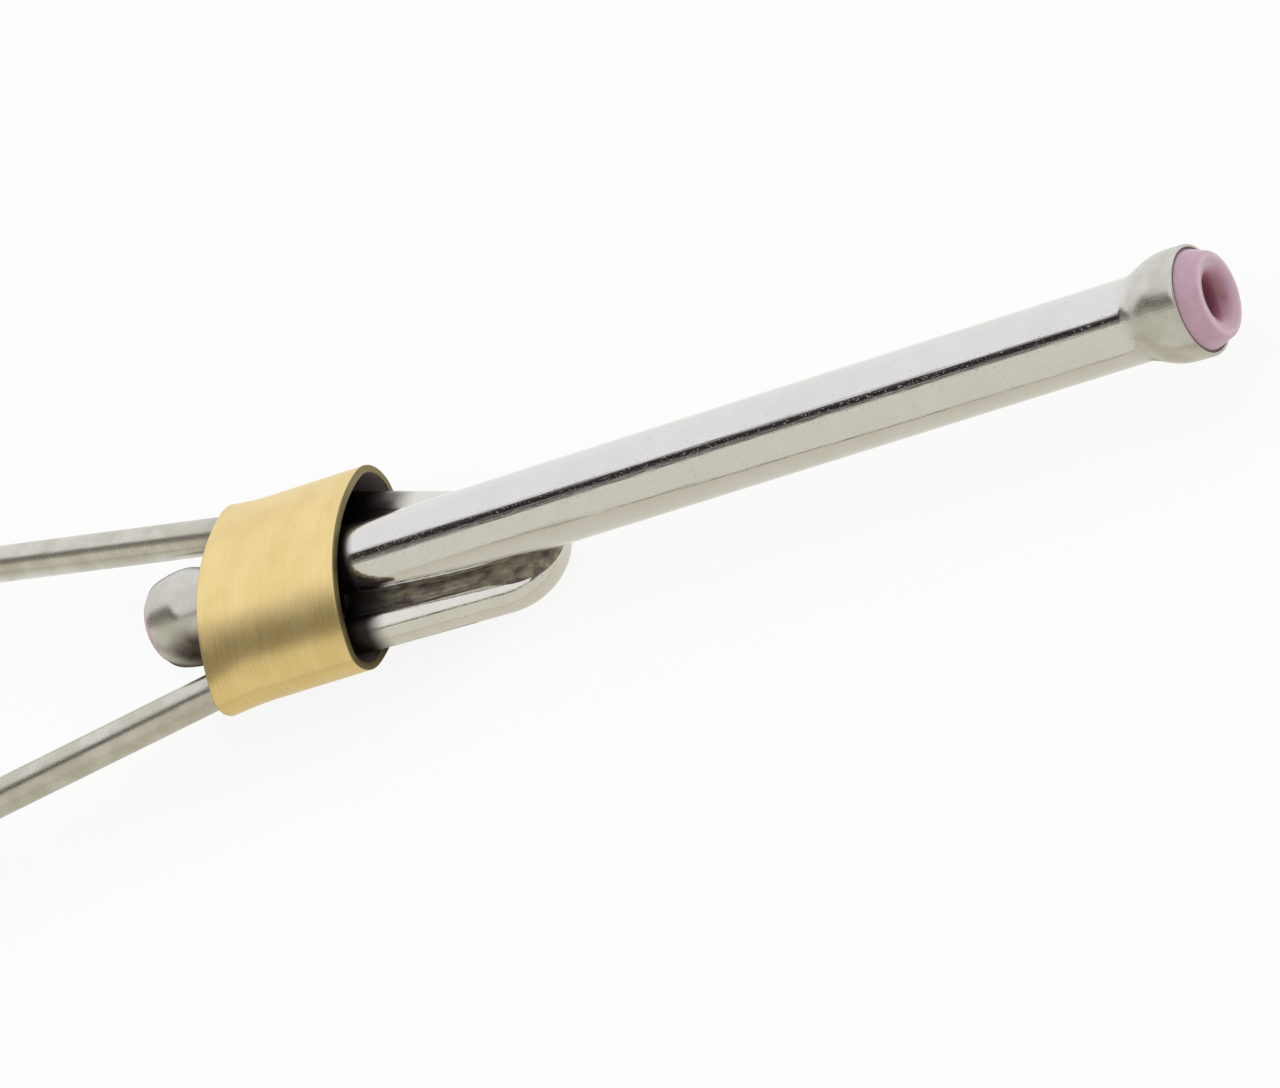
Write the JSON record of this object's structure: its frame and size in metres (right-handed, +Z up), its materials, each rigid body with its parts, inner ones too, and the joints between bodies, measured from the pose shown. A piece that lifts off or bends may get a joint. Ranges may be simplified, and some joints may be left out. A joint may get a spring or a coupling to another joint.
{
  "type": "fly tying bobbin holder",
  "caption": "Fly tying bobbin holder: a flared steel thread tube with ceramic inserts, brazed to a sprung wire bow whose arms grip a thread spool between ball feet, with an oval brass collar.",
  "frame": {"origin": "on the tube's axis at the throat of the front insert, where the straight thread bore begins behind the rounded lip", "axes": "+X along the tube's axis, the way the thread leaves; +Y across to the left arm; +Z up, away from the side that the wire bow is brazed to"},
  "size_m": [0.1017, 0.0332, 0.0062],
  "materials": {
    "tube_steel": "polished stainless steel with fine pits",
    "ceramic": "polished opaque pink alumina ceramic",
    "spring_steel": "polished spring steel wire",
    "braze_metal": "cast, mottled and dull",
    "collar_brass": "brushed, satin",
    "foot_brass": "turned and polished"
  },
  "bodies": {
    "barrel": {"barrel_tube": "tube_steel", "front_insert": "ceramic", "rear_insert": "ceramic", "wire_bow": "spring_steel", "braze_left": "braze_metal", "braze_right": "braze_metal", "braze_bow": "braze_metal"},
    "collar": {"collar": "collar_brass"},
    "left_arm": {"left_arm": "spring_steel", "left_foot": "foot_brass"},
    "right_arm": {"right_arm": "spring_steel", "right_foot": "foot_brass"}
  },
  "joints": [
    {"name": "left_arm_flex", "type": "hinge", "parent": "barrel", "child": "left_arm", "pos_m": [-0.0481, 0.00367, -0.00028], "axis": [0, 0, -1], "range_deg": [-6, 9], "stiffness_Nm_per_rad": 3},
    {"name": "right_arm_flex", "type": "hinge", "parent": "barrel", "child": "right_arm", "pos_m": [-0.0481, -0.00367, -0.00028], "axis": [0, 0, 1], "range_deg": [-6, 9], "stiffness_Nm_per_rad": 3},
    {"name": "collar_slide", "type": "slide", "parent": "barrel", "child": "collar", "axis": [1, 0, 0], "range_m": [0, 0.0007]}
  ]
}
